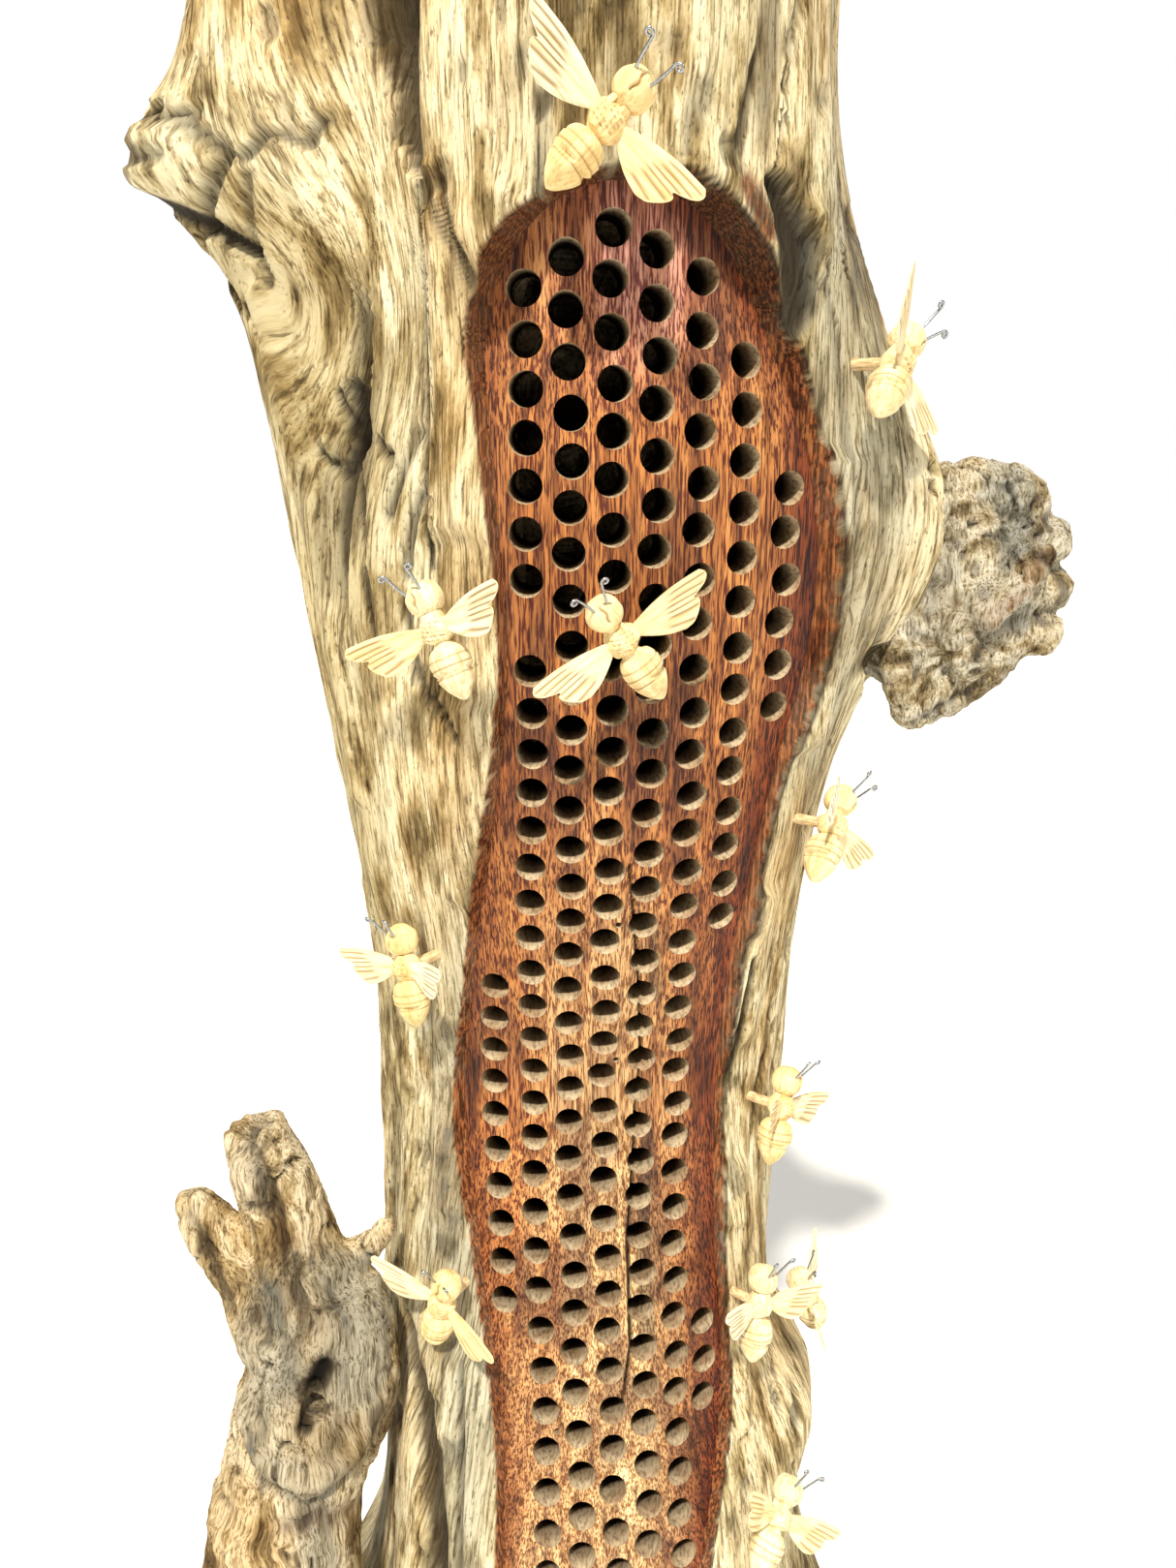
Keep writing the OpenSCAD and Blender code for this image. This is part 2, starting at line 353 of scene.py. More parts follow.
def baked(obj):
    """The mesh that a working object comes to, without the object."""
    graph = bpy.context.evaluated_depsgraph_get()
    mesh = bpy.data.meshes.new_from_object(obj.evaluated_get(graph))
    bpy.data.objects.remove(obj)
    return mesh


def modified(mesh, kind, **settings):
    """The mesh after one modifier."""
    obj = into_scene("work", mesh)
    modifier = obj.modifiers.new("work", kind)
    for key, value in settings.items():
        setattr(modifier, key, value)
    return baked(obj)


def piece(name, mesh, body, nodes, finishes, crisp=40):
    """Makes a finished piece of a mesh in millimetres."""
    mesh.transform(Matrix.Scale(MM, 4))
    for k, finish in enumerate(finishes):
        if k < len(mesh.materials):
            mesh.materials[k] = finish
        else:
            mesh.materials.append(finish)
    mesh.shade_smooth()
    mesh.set_sharp_from_angle(angle=math.radians(crisp))
    obj = into_scene(name, mesh)
    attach(obj, body)
    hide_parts(*nodes)


# ---------------------------------------------------------------- finishes
def paint(code):
    """Linear colour of an sRGB hex value."""
    parts = [int(code[k:k + 2], 16) / 255 for k in (1, 3, 5)]
    return [p / 12.92 if p <= 0.04045 else ((p + 0.055) / 1.055) ** 2.4 for p in parts] + [1.0]


MIX = {"data_type": "RGBA"}
MULTIPLY = {"data_type": "RGBA", "blend_type": "MULTIPLY"}


def add(tree, kind, settings=None, out=0, stops=(), **inputs):
    """Adds a shader node and gives one output. An input is a socket to link from, or a value, and is
    named as the node names it with _ for a space, or by its number after _. Stops are a ramp's colours."""
    node = tree.nodes.new("ShaderNode" + kind)
    for key, value in (settings or {}).items():
        setattr(node, key, value)
    for key, value in inputs.items():
        socket = node.inputs[int(key[1:])] if key[1:].isdigit() else node.inputs[key.replace("_", " ")]
        if isinstance(value, bpy.types.NodeSocket):
            tree.links.new(value, socket)
        else:
            socket.default_value = value
    while len(node.color_ramp.elements if stops else ()) < len(stops):
        node.color_ramp.elements.new(0.5)
    for k, (at, code) in enumerate(stops):
        node.color_ramp.elements[k].position = at
        node.color_ramp.elements[k].color = paint(code)
    return node.outputs[out] if len(node.outputs) else None


def finish_named(name):
    material = bpy.data.materials.new(name)
    material.use_nodes = True
    material.node_tree.nodes.clear()
    return material, material.node_tree


def close_finish(tree, colour, bump, roughness, depth, specular=0.3):
    """Ends a wood finish: its colour, its surface bump of that depth in metres, and its sheen."""
    normal = add(tree, "Bump", Height=bump, Distance=depth, Strength=1.0)
    shader = add(tree, "BsdfPrincipled", Base_Color=colour, Roughness=roughness, Normal=normal,
                 Specular_IOR_Level=specular)
    add(tree, "OutputMaterial", Surface=shader)


# ---------------------------------------------------------------- the weathered surface
# Marks that stand out on the trunk. Each is a line of (angle, height, width), then how far it
# stands off the surface, how black it is, how blue-grey, and how red.
MARKS = [
    # the cleft at the upper left, with its inner plank, and the crack below it
    ([(-131, 1030, 16), (-130, 960, 13), (-129, 915, 11), (-127, 888, 6), (-125, 868, 3)],
     -13, 0.9, 0.3, 0),
    ([(-127, 1030, 3), (-126.6, 960, 3), (-126, 920, 2.6), (-125, 895, 2)], 6, 0, 0.2, 0.6),
    ([(-124, 873, 2.4), (-123, 841, 1.8), (-124, 791, 1.4), (-125, 762, 1.4), (-125, 722, 1)],
     -4, 0.9, 0.2, 0),
    # the rim to the left of the face, below the cleft
    ([(-120, 862, 6), (-121, 800, 7), (-122.5, 740, 7), (-123, 680, 6)], 3.2, 0, 0, 0),
    ([(-117, 862, 1.6), (-114, 836, 2), (-112, 818, 2), (-113, 790, 1)], -3.2, 0.7, 0.1, 0),
    # the dark hollow and the ridge to the right of the arch
    ([(-51, 862, 5), (-46, 842, 9), (-44, 822, 8), (-47, 806, 3)], -7, 0.75, 0.9, 0),
    ([(-58, 861, 5), (-53, 846, 4)], -2, 0, 0, 0.9),
    ([(-42, 852, 6), (-39, 816, 6), (-36.5, 761, 6), (-35, 696, 6), (-34, 643, 6), (-38, 597, 5),
      (-41, 548, 5)], 3.4, 0, 0, 0),
    ([(-39, 838, 2), (-36, 812, 3), (-34, 761, 2.4), (-32, 700, 2)], -3, 0.35, 0.8, 0),
    ([(-40, 530, 1.6), (-41, 481, 2), (-45, 418, 1.4)], -3, 0.9, 0, 0),
    # ridges down the left flank
    ([(-155, 825, 6), (-154, 760, 7), (-152, 694, 6), (-153, 611, 5)], 3.4, 0, 0, 0),
    ([(-112, 717, 4), (-111, 685, 4), (-112, 647, 4), (-116, 619, 4), (-119, 600, 3)], 1.6, 0, 0, 0),
    ([(-131, 707, 1.6), (-129, 675, 2.2), (-121, 650, 1.6)], -3.2, 0.8, 0.1, 0),
    # knots and flakes under the stub
    ([(-172, 902, 2), (-160, 890, 3), (-153, 876, 3), (-160, 858, 3), (-168, 850, 3)], -4, 0.7, 0.1, 0),
    ([(-177, 846, 5), (-170, 838, 5), (-165, 826, 4)], -8, 0.95, 0.1, 0),
    ([(-180, 873, 4), (-171, 864, 5), (-161, 853, 4), (-153, 842, 3)], -6, 0.9, 0.2, 0),
    ([(-178, 893, 2), (-168, 897, 2.4), (-157, 892, 2)], -3, 0.5, 0.1, 0),
    ([(-175, 884, 3), (-164, 880, 4)], -4, 0.35, 0.5, 0),
    ([(-160, 822, 3), (-158, 812, 3)], -6, 0.95, 0.1, 0),
    ([(-150, 874, 2.4), (-146, 882, 2), (-141, 876, 2), (-139, 884, 2)], -2.6, 0.7, 0.2, 0),
    ([(-150, 868, 2), (-152, 850, 1.6), (-151, 830, 1.2)], -2, 0.6, 0.2, 0),
    ([(-137, 792, 2), (-137, 772, 3.4), (-142, 758, 2), (-147, 768, 1.4)], -4.5, 0.85, 0.7, 0),
    ([(-139, 790, 1), (-138.5, 740, 1.2), (-138.6, 690, 1)], -2.4, 0.9, 0.2, 0),
    ([(-133, 770, 2), (-131, 764, 2)], -4, 0.95, 0, 0),
    ([(-133, 740, 2.2), (-129, 760, 2), (-125.5, 776, 1.6)], -3, 0.6, 0, 0),
    ([(-130, 716, 2), (-128, 738, 2), (-126, 752, 1.4)], -3.2, 0.7, 0, 0),
    # holes beside the burl, and the notch under it
    ([(-15, 759, 2.6), (-15.4, 758, 2.6)], -7, 1, 0, 0),
    ([(-17, 750, 2), (-16.8, 749, 2)], -6, 1, 0, 0),
    ([(-19, 676, 5), (-14, 664, 6), (-8, 652, 4)], -7, 0.6, 0.3, 0),
    # the hollow behind the side stem
    ([(-143, 320, 5), (-136, 295, 8), (-129, 265, 9), (-124, 232, 8), (-121, 205, 5)], -8, 0.7, 0.2, 0),
    ([(-122, 323, 2), (-119, 280, 2), (-116, 221, 1.6)], -3, 0.6, 0, 0),
]
# The long crack down the face, in the same way, and the tongue of bark above the arch.
CRACK = [(-78, 588, 0.7), (-73, 530, 1.0), (-70, 480, 1.1), (-73, 426, 1.2), (-77, 384, 1.1),
         (-78, 331, 1.0), (-82, 296, 0.6)]
TONGUE = [(-125, 1060), (-122, 900), (-121.5, 866), (-116, 843), (-111, 828), (-106, 838),
          (-101, 856), (-99, 885), (-97, 1060)]
# Length of one degree round the trunk.
ARC_MM = 1.92


def flat(a, z):
    """The trunk's side laid flat, in millimetres."""
    return np.stack([turn(a - FRONT) * ARC_MM, z], -1)


def stroke(p, line):
    """How strongly a drawn line covers each flat place p, from 0 to 1."""
    line = np.array([(turn(a - FRONT) * ARC_MM, z, w) for a, z, w in line], float)
    best = np.zeros(len(p))
    low, high = line.min(0) - 40, line.max(0) + 40
    near = np.flatnonzero((p > low[:2]).all(1) & (p < high[:2]).all(1))
    for a, b in zip(line[:-1], line[1:]):
        d = b[:2] - a[:2]
        t = unit(((p[near] - a[:2]) @ d) / (d @ d))
        gap = np.linalg.norm(p[near] - a[:2] - t[:, None] * d, axis=1)
        width = a[2] + (b[2] - a[2]) * t
        best[near] = np.maximum(best[near], np.exp(-(gap / width) ** 4))
    return best


def inside(p, outline):
    """Signed distance in millimetres into a drawn outline."""
    ring = flat(np.array([q[0] for q in outline], float), np.array([q[1] for q in outline], float))
    gap = np.full(len(p), 1e9)
    odd = np.zeros(len(p), bool)
    for a, b in zip(ring, np.roll(ring, -1, 0)):
        d = b - a
        t = unit(((p - a) @ d) / (d @ d))
        gap = np.minimum(gap, np.linalg.norm(p - a - t[:, None] * d, axis=1))
        crosses = (a[1] > p[:, 1]) != (b[1] > p[:, 1])
        rise = d[1] if abs(d[1]) > 1e-9 else 1e-9
        odd ^= crosses & (p[:, 0] < a[0] + d[0] * (p[:, 1] - a[1]) / rise)
    return np.where(odd, gap, -gap)


def face_inside(a, z):
    """Signed distance in millimetres into the outline of the carved face."""
    heights = np.concatenate([np.arange(FACE_FOOT, ARCH_TOP - 40, 3),
                              np.arange(ARCH_TOP - 40, ARCH_TOP + 0.1, 0.5)])
    s0, s1 = face_span(heights)
    tree = KDTree(2 * len(heights))
    for k, (x, y) in enumerate(np.concatenate([flat(s0, heights), flat(s1, heights)])):
        tree.insert((x, y, 0), k)
    tree.balance()
    gap = np.array([tree.find((x, y, 0))[2] for x, y in flat(a, z)])
    s0, s1 = face_span(z)
    within = (a > s0) & (a < s1) & (z > FACE_FOOT) & (z < ARCH_TOP)
    return np.where(within, gap, -gap)


def grain_at(a, z):
    """Place in the wood with its grain along z, bent round the stub, the burl and the swirl."""
    swirl = lobe(a, z, -140, 820, 15, 62, 1.0)
    bend = (turn(a - 188) * lobe(a, z, 188, 880, 24, 70, 0.55)
            + turn(a + 12) * lobe(a, z, -12, 715, 24, 90, 0.5) + 15 * swirl)
    b = np.radians(a - bend)
    q = np.stack([110 * np.cos(b), 110 * np.sin(b), z], -1)
    coarse, mid = q / (70, 70, 190), q / (24, 24, 90)
    return q + (drift(coarse, 1, 2.2) * 9 + drift(mid, 4, 1.6) * (2.4 + 9 * swirl)[:, None])


def weathering(a, z):
    """Height of the weathered surface over the plain trunk, its grain place, and its stains."""
    g = grain_at(a, z)
    flutes = fbm(g / (46, 46, 300), 3, 11)
    ribs = 1 - 2.2 * np.abs(noise(g / (15, 15, 130), 21))
    fine = 1 - 2 * np.abs(noise(g / (5.4, 5.4, 55), 31))
    thread = noise(g / (2.6, 2.6, 24), 33)
    rough = ease(0.5 + 1.6 * noise(g / (80, 80, 160), 44))
    split = unit(1 - np.abs(noise(g / (26, 26, 380), 51)) / 0.045)
    split = split * ease(2.6 * noise(g / (60, 60, 130), 52)) * ease((z - 130) / 60)
    pits = ease((noise(g / (6, 6, 15), 61) - 0.42) * 4) * ease(1.5 * noise(g / (90, 90, 110), 62) + 0.4)
    d = face_inside(a, z)
    calm = 0.25 + 0.75 * ease((-d - 2) / 26)
    foot = 1 + 0.8 * ease((150 - z) / 150)
    high = (5.2 * flutes * foot + (0.8 + 1.3 * rough) * ribs + (0.35 + 0.55 * rough) * fine
            + 0.25 * thread) * calm
    high = high - (4.5 * split + 2.6 * pits) * calm + 3.0 * bump(d + 10, 6)
    high = high - (15 + 9 * ribs) * lobe(a, z, 186, 886, 6, 13, 1)
    p = flat(a, z)
    black, blue, red = 0.85 * split + 0.5 * pits, np.zeros(len(a)), np.zeros(len(a))
    blue = 0.75 * ease(2.4 * (noise(g / (55, 55, 210), 71) - 0.3))
    for line, height, dark, cold, warm in MARKS:
        s = stroke(p, line)
        high = high + height * s
        black = np.maximum(black, dark * s)
        blue = np.maximum(blue, cold * s)
        red = np.maximum(red, warm * s)
    tongue = inside(p, TONGUE) + 1.2 * noise(g / (14, 14, 30), 81)
    lift = ease(tongue / 5) * ease((990 - z) / 110)
    high = high + 5.5 * lift
    black = np.maximum(black, 0.8 * bump(tongue + 1.4, 2.0) * ease((900 - z) / 30))
    for at, up, *_ in BEES:
        near = ease((48 - np.hypot(turn(a - at) * ARC_MM, z - up)) / 16)
        high = np.minimum(high, 14 - 14.6 * near)
    return high, g, d, black, blue, red, ribs * rough


def rim_inset(z):
    """How far in millimetres the bark on the right reaches over the face, beside the tubes."""
    return 3.5 * ease((z - 250) / 100) * ease((858 - z) / 50)


def rim_cut(a, z, d, g):
    """How far the carver's cut goes down at the rim of the face, from 0 on the bark to 1 at the panel."""
    s0, s1 = face_span(z)
    right = ease(0.5 + (a - (s0 + s1) / 2) / 50) * ease((z - 240) / 160)
    d = d - rim_inset(z) * right
    wide = 2.4 + 3.4 * right + 1.0 * noise(g / (22, 22, 70), 91)
    t = unit((d + 0.4 + wide) / wide)
    return 0.25 * ease(t) + 0.75 * ease(t ** 2.2)


def shell_columns(z):
    """Angles of the shell's grid lines at height z, close together at the rim of the face."""
    middle, half = face_middle(z)
    half = np.sqrt((half * face_close(np.minimum(z, ARCH_TOP - 9))) ** 2 + 6.0 ** 2)
    s0, s1 = middle - half, middle + half - rim_inset(z) / ARC_MM
    steps = np.concatenate([np.linspace(-15, -1.6, 27)[:-1], np.linspace(-1.6, 0.8, 13)])
    left = [np.linspace(BACK_SEAM - 360, -188, 25)[:-1, None] + 0 * s0,
            np.linspace(0, 1, 79)[:-1, None] * (s0 - 15 + 188) - 188, s0 + steps[:, None]]
    floor = s0 + 0.8 + np.linspace(0, 1, 20)[1:-1, None] * (s1 - s0 - 1.6)
    right = [s1 - steps[::-1, None], s1 + 15 + np.linspace(0, 1, 49)[1:, None] * (24 - s1 - 15),
             np.linspace(24, BACK_SEAM, 23)[1:, None] + 0 * s0]
    return np.concatenate(left + [floor] + right)


def weathered_shell():
    heights = np.concatenate([np.linspace(0, 190, 36)[:-1], np.linspace(190, 790, 151)[:-1],
                              np.linspace(790, 880, 56)[:-1], np.linspace(880, 1050, 42)])
    table = shell_columns(heights)
    foot, crown = 3, 12
    mesh, i, j = grid(len(table) - 1, foot + len(heights) - 1 + crown)
    row = np.clip(j - foot, 0, len(heights) - 1)
    a, z = table[i, row], heights[row]
    rim = top_edge(a)
    zc = np.where(z > 900, 900 + (z - 900) * (rim - 900) / 150, z)
    high, g, d, *_ = weathering(a, zc)
    cut = rim_cut(a, zc, d, g)
    recess = (carve_depth(zc) + SHELL_DROP) * cut
    r = bark_r(a, zc) + high * (1 - cut) - recess
    shut = np.clip(j - foot - len(heights) + 1, 0, crown) / crown
    r = r * (1 - shut) * np.where(j < foot, j / foot, 1.0)
    jag = 12 * noise(polar(a, 0 * r, r) / (14, 14, 1), 95)
    middle = TRUNK_H - 48
    zc = zc + (middle - zc) * shut ** 1.5 + jag * unit(3 * (1 - shut)) * (shut > 0)
    zc = np.minimum(zc, TRUNK_H - 4)
    place(mesh, polar(a, np.where(j < foot, 0, zc), r))
    return joined(mesh)


def heartwood_panel():
    heights = np.linspace(FACE_FOOT - 12, ARCH_TOP + 12, 371)
    s0, s1 = face_span(heights)
    mesh, i, j = grid(170, 370)
    a = (s0 - 4)[j] + (s1 - s0 + 8)[j] * i / 170
    z = heights[j]
    place(mesh, polar(a, z, bark_r(a, z) - carve_depth(z) + face_tooling(a, z)))
    bm = bmesh.new()
    bm.from_mesh(mesh)
    rim = [e for e in bm.edges if e.is_boundary]
    made = bmesh.ops.extrude_edge_only(bm, edges=rim)["geom"]
    for v in (e for e in made if isinstance(e, bmesh.types.BMVert)):
        v.co.x, v.co.y = 0, 0
    close_up(bm)
    bm.to_mesh(mesh)
    bm.free()
    return mesh


def face_tooling(a, z):
    p = flat(a, z)
    q = np.stack([p[:, 0], 0 * z, z], -1)
    ribs = noise(q / (9, 1, 140), 101) * 0.5 + noise(q / (22, 1, 260), 102) * 0.9
    scrape = 0.22 * noise(q / (2.6, 1, 60), 103)
    return ribs + scrape - 2.4 * stroke(p, CRACK)


def drill_cutter(diameter, sides):
    """All the nest tubes' drill bits, and the peg and pilot holes that lie in the face."""
    bm = bmesh.new()
    holes = [(a, z, FRONT + FAN * (a - FRONT), lean(z), diameter, TUBE_DEPTH) for a, z in nest_tubes()]
    for row, column in PILOTS:
        near = np.array([tube_at(row, column), tube_at(row + 1, column), tube_at(row, column + 1)])
        a, z = near.mean(0)
        holes.append((a, z, a, 0, PILOT_D, 8))
    holes.append((BEES[3][0], BEES[3][1], BEES[3][0], 0, PEG_D + 0.1, 16))
    for a, z, toward, rise, size, deep in holes:
        axis = direction(toward, rise)
        middle = spot(a, z) + axis * (BIT_RUN - deep) / 2
        stand = Vector(axis).to_track_quat("Z", "Y").to_matrix().to_4x4()
        bmesh.ops.create_cone(bm, cap_ends=True, segments=sides, radius1=size / 2, radius2=size / 2,
                              depth=BIT_RUN + deep, matrix=Matrix.Translation(middle) @ stand)
    for f in bm.faces:
        f.material_index = 1
    return to_mesh(bm, "drills")


def drilled(mesh, cutter):
    tool = into_scene("drills", cutter)
    for m in (mesh, cutter):
        while len(m.materials) < 2:
            m.materials.append(None)
    result = modified(mesh, "BOOLEAN", operation="DIFFERENCE", solver="MANIFOLD", object=tool)
    bpy.data.objects.remove(tool)
    return result


# Driftwood root, dry and sun-bleached: cream fibre with grey and blue-grey weathering, painted brown
# shade in the hollows, black in the cracks, a red-brown rim wall darkened in part as painted shade and
# painted near black at the top of the arch, with no sheen.
def weathered(name, light, warm, mid, dark, grey):
    material, tree = finish_named(name)
    grain = add(tree, "Attribute", {"attribute_name": "grain"}, "Vector")
    black, blue, red, rib = (add(tree, "Attribute", {"attribute_name": key}, "Fac")
                             for key in ("black", "blue", "red", "rib"))
    noises = []
    for across, along_mm, detail in ((70, 200, 3), (18, 60, 7), (5, 34, 5), (1.15, 24, 4), (0.9, 4, 2)):
        drawn = add(tree, "Mapping", Vector=grain, Scale=(1, 1, across / along_mm))
        noises.append(add(tree, "TexNoise", Vector=drawn, Scale=1000 / across, Detail=detail, Roughness=0.62))
    broad, patch, band, fibre, fleck = noises
    base = add(tree, "ValToRGB", stops=[(0.36, warm), (0.5, light), (0.62, mid)], Fac=broad)
    patches = add(tree, "ValToRGB", stops=[(0.35, "#76684F"), (0.44, "#C8BDA6"), (0.52, "#FFFFFF")],
                  Fac=patch)
    greying = add(tree, "ValToRGB", stops=[(0.5, "#000000"), (0.7, "#9A9A9A")], Fac=patch)
    streaks = add(tree, "ValToRGB", stops=[(0.33, "#75664C"), (0.43, "#E6E0D2"), (0.5, "#FFFFFF")], Fac=band)
    chill = add(tree, "Math", {"operation": "MULTIPLY"}, _0=blue, _1=0.6)
    fibres = add(tree, "ValToRGB", stops=[(0.36, "#5E4F39"), (0.45, "#D2C8B4"), (0.52, "#FFFFFF")], Fac=fibre)
    flecks = add(tree, "ValToRGB", stops=[(0.30, "#5E5444"), (0.42, "#FFFFFF")], Fac=fleck)
    place_in = add(tree, "TexCoord", None, "Object")
    upright = add(tree, "Mapping", Vector=place_in, Scale=(1, 1, 0.06))
    cut_fibre = add(tree, "TexNoise", Vector=upright, Scale=900.0, Detail=3.0)
    # The carved rim wall: dark red-brown, partly the heartwood's own colour and partly painted shade.
    walls = add(tree, "ValToRGB", stops=[(0.38, "#2C0E05"), (0.5, "#5A2A14"), (0.62, "#8E5630")],
                Fac=cut_fibre)
    # Painted shade: low places and the valleys between ribs, as given by the rib mark, are mixed towards dark
    # brown.
    hollow = add(tree, "ValToRGB", stops=[(0.0, "#D8D8D8"), (0.34, "#000000")], Fac=rib)
    for how, amount, over in (
            (MULTIPLY, 0.95, patches), (MIX, greying, paint(grey)), (MULTIPLY, 0.85, streaks),
            (MIX, chill, paint("#6F7876")), (MULTIPLY, 0.8, fibres), (MULTIPLY, 0.7, flecks),
            (MIX, red, walls), (MIX, hollow, paint(dark)), (MIX, black, paint("#15110D"))):
        base = add(tree, "Mix", how, 2, _0=amount, _6=base, _7=over)
    height = add(tree, "Math", {"operation": "MULTIPLY_ADD"}, _0=fleck, _1=0.5, _2=fibre)
    close_finish(tree, base, height, 0.88, 0.0009, 0.12)
    return material


# Heartwood scraped back to a red-brown face: open pores as short dark streaks, pinker at the
# top, straw-coloured down the lower middle and dark red towards the rim, with a dull sheen.
def scraped_heartwood():
    material, tree = finish_named("scraped red heartwood")
    place_in = add(tree, "TexCoord", None, "Object")
    shades = {key: add(tree, "Attribute", {"attribute_name": key}, "Fac")
              for key in ("pink", "straw", "rim", "crack")}
    noises = []
    for across, along_mm, detail in ((0.75, 12, 2.5), (3.2, 44, 4), (17, 150, 3)):
        drawn = add(tree, "Mapping", Vector=place_in, Scale=(1, 1, across / along_mm))
        noises.append(add(tree, "TexNoise", Vector=drawn, Scale=1000 / across, Detail=detail,
                          Roughness=0.55, Distortion=0.25))
    pore, ribbon, figure = noises
    light, dark = paint("#C68D50"), paint("#5E260D")
    for key, pale, deep in (("pink", "#C49384", "#6A3230"), ("straw", "#DECB9C", "#8A6234"),
                            ("rim", "#8C4C28", "#330E05")):
        light = add(tree, "Mix", MIX, 2, _0=shades[key], _6=light, _7=paint(pale))
        dark = add(tree, "Mix", MIX, 2, _0=shades[key], _6=dark, _7=paint(deep))
    streaks = add(tree, "ValToRGB", stops=[(0.43, "#000000"), (0.54, "#FFFFFF")], Fac=pore)
    base = add(tree, "Mix", MIX, 2, _0=streaks, _6=dark, _7=light)
    bands = add(tree, "ValToRGB", stops=[(0.36, "#7C4C30"), (0.5, "#F0DECB"), (0.58, "#FFFFFF")], Fac=ribbon)
    broad = add(tree, "ValToRGB", stops=[(0.38, "#7C4A36"), (0.5, "#E8D2BE"), (0.6, "#FFFFFF")], Fac=figure)
    for how, amount, over in ((MULTIPLY, 0.75, bands), (MULTIPLY, 0.7, broad),
                              (MIX, shades["crack"], paint("#1A0F09"))):
        base = add(tree, "Mix", how, 2, _0=amount, _6=base, _7=over)
    close_finish(tree, base, pore, 0.62, 0.0004, 0.35)
    return material


# The clean wall that a drill bit leaves: pale end fibre with faint turning lines, darkened deep
# inside as painted shade.
def drilled_wall():
    material, tree = finish_named("drilled bore wall")
    place_in = add(tree, "TexCoord", None, "Object")
    drawn = add(tree, "Mapping", Vector=place_in, Scale=(1, 0.3, 1))
    rough = add(tree, "TexNoise", Vector=drawn, Scale=650.0, Detail=4.0)
    patch = add(tree, "TexNoise", Vector=place_in, Scale=75.0, Detail=2.0)
    base = add(tree, "ValToRGB", stops=[(0.35, "#93826A"), (0.55, "#C9B797")], Fac=rough)
    stain = add(tree, "ValToRGB", stops=[(0.35, "#B49478"), (0.6, "#FFFFFF")], Fac=patch)
    base = add(tree, "Mix", MULTIPLY, 2, _0=0.6, _6=base, _7=stain)
    # Painted shade: the wall darkens towards the far end of each bore.
    deep = add(tree, "Attribute", {"attribute_name": "deep"}, "Fac")
    depth_shade = add(tree, "ValToRGB", stops=[(0.1, "#FFFFFF"), (0.6, "#40362C")], Fac=deep)
    base = add(tree, "Mix", MULTIPLY, 2, _0=1.0, _6=base, _7=depth_shade)
    close_finish(tree, base, rough, 0.85, 0.0003, 0.1)
    return material


# Bare pale wood shaped with a knife: fine straight grain, darker along the carved cuts.
def carved(name, light, dark, cut, grain_mm=1.1):
    material, tree = finish_named(name)
    grain = add(tree, "Attribute", {"attribute_name": "grain"}, "Vector")
    cuts, tone = (add(tree, "Attribute", {"attribute_name": key}, "Fac") for key in ("cut", "tone"))
    drawn = add(tree, "Mapping", Vector=grain, Scale=(1, 1, 0.07))
    lines = add(tree, "TexNoise", Vector=drawn, Scale=1000 / grain_mm, Detail=3.0)
    rings = add(tree, "TexNoise", Vector=drawn, Scale=210.0, Detail=1.5)
    base = add(tree, "ValToRGB", stops=[(0.36, dark), (0.6, light)], Fac=rings)
    base = add(tree, "Mix", MULTIPLY, 2, _0=tone, _6=base, _7=paint("#FFEFD2"))
    fine = add(tree, "ValToRGB", stops=[(0.34, "#CDB98F"), (0.52, "#FFFFFF")], Fac=lines)
    base = add(tree, "Mix", MULTIPLY, 2, _0=0.55, _6=base, _7=fine)
    base = add(tree, "Mix", MIX, 2, _0=cuts, _6=base, _7=paint(cut))
    close_finish(tree, base, lines, 0.7, 0.00018, 0.25)
    return material


# Turned birch dowel, planed along its length: even, pale and slightly dusty.
def dowel():
    material, tree = finish_named("birch dowel")
    place_in = add(tree, "TexCoord", None, "Object")
    drawn = add(tree, "Mapping", Vector=place_in, Scale=(0.2, 0.2, 1))
    lines = add(tree, "TexNoise", Vector=drawn, Scale=1400.0, Detail=3.0)
    base = add(tree, "ValToRGB", stops=[(0.35, "#A98B5E"), (0.6, "#D9C196")], Fac=lines)
    close_finish(tree, base, lines, 0.65, 0.00015, 0.25)
    return material


# Bright drawn steel wire: fine lines along the wire, a little dulled.
def drawn_steel():
    material, tree = finish_named("bright drawn steel wire")
    place_in = add(tree, "TexCoord", None, "Object")
    lines = add(tree, "TexNoise", Vector=place_in, Scale=1500.0, Detail=2.0)
    base = add(tree, "ValToRGB", stops=[(0.3, "#85888B"), (0.7, "#B4B7BA")], Fac=lines)
    close_finish(tree, base, lines, 0.3, 0.00005, 0.5)
    tree.nodes["Principled BSDF"].inputs["Metallic"].default_value = 1.0
    return material


# Pale painted studio floor, matt and almost even.
def studio_floor():
    material, tree = finish_named("pale studio floor")
    place_in = add(tree, "TexCoord", None, "Object")
    cloud = add(tree, "TexNoise", Vector=place_in, Scale=3.0)
    base = add(tree, "ValToRGB", stops=[(0.3, "#F6F6F4"), (0.7, "#FAFAF8")], Fac=cloud)
    close_finish(tree, base, cloud, 0.9, 0.0001, 0.1)
    return material


WEATHERED_WOOD = weathered("weathered driftwood", "#E9E0BE", "#DCC597", "#C2B48C", "#493A25", "#A39D86")
GREY_WOOD = weathered("grey weathered burl", "#CFC9B6", "#C4B798", "#A9A393", "#443D34", "#878B88")
STEM_WOOD = weathered("grey weathered limb", "#DACDAF", "#CBB48A", "#AC9D80", "#372C1F", "#8F8D84")
HEARTWOOD = scraped_heartwood()
BORE_WALL = drilled_wall()
CARVED_WOOD = carved("carved pale hardwood", "#EFE4C0", "#DCCA9C", "#8C6B3F")
WING_WOOD = carved("split pale wood", "#F0E7CC", "#E2D4AE", "#8F744A")
DOWEL = dowel()
STEEL_WIRE = drawn_steel()
PALE_FLOOR = studio_floor()


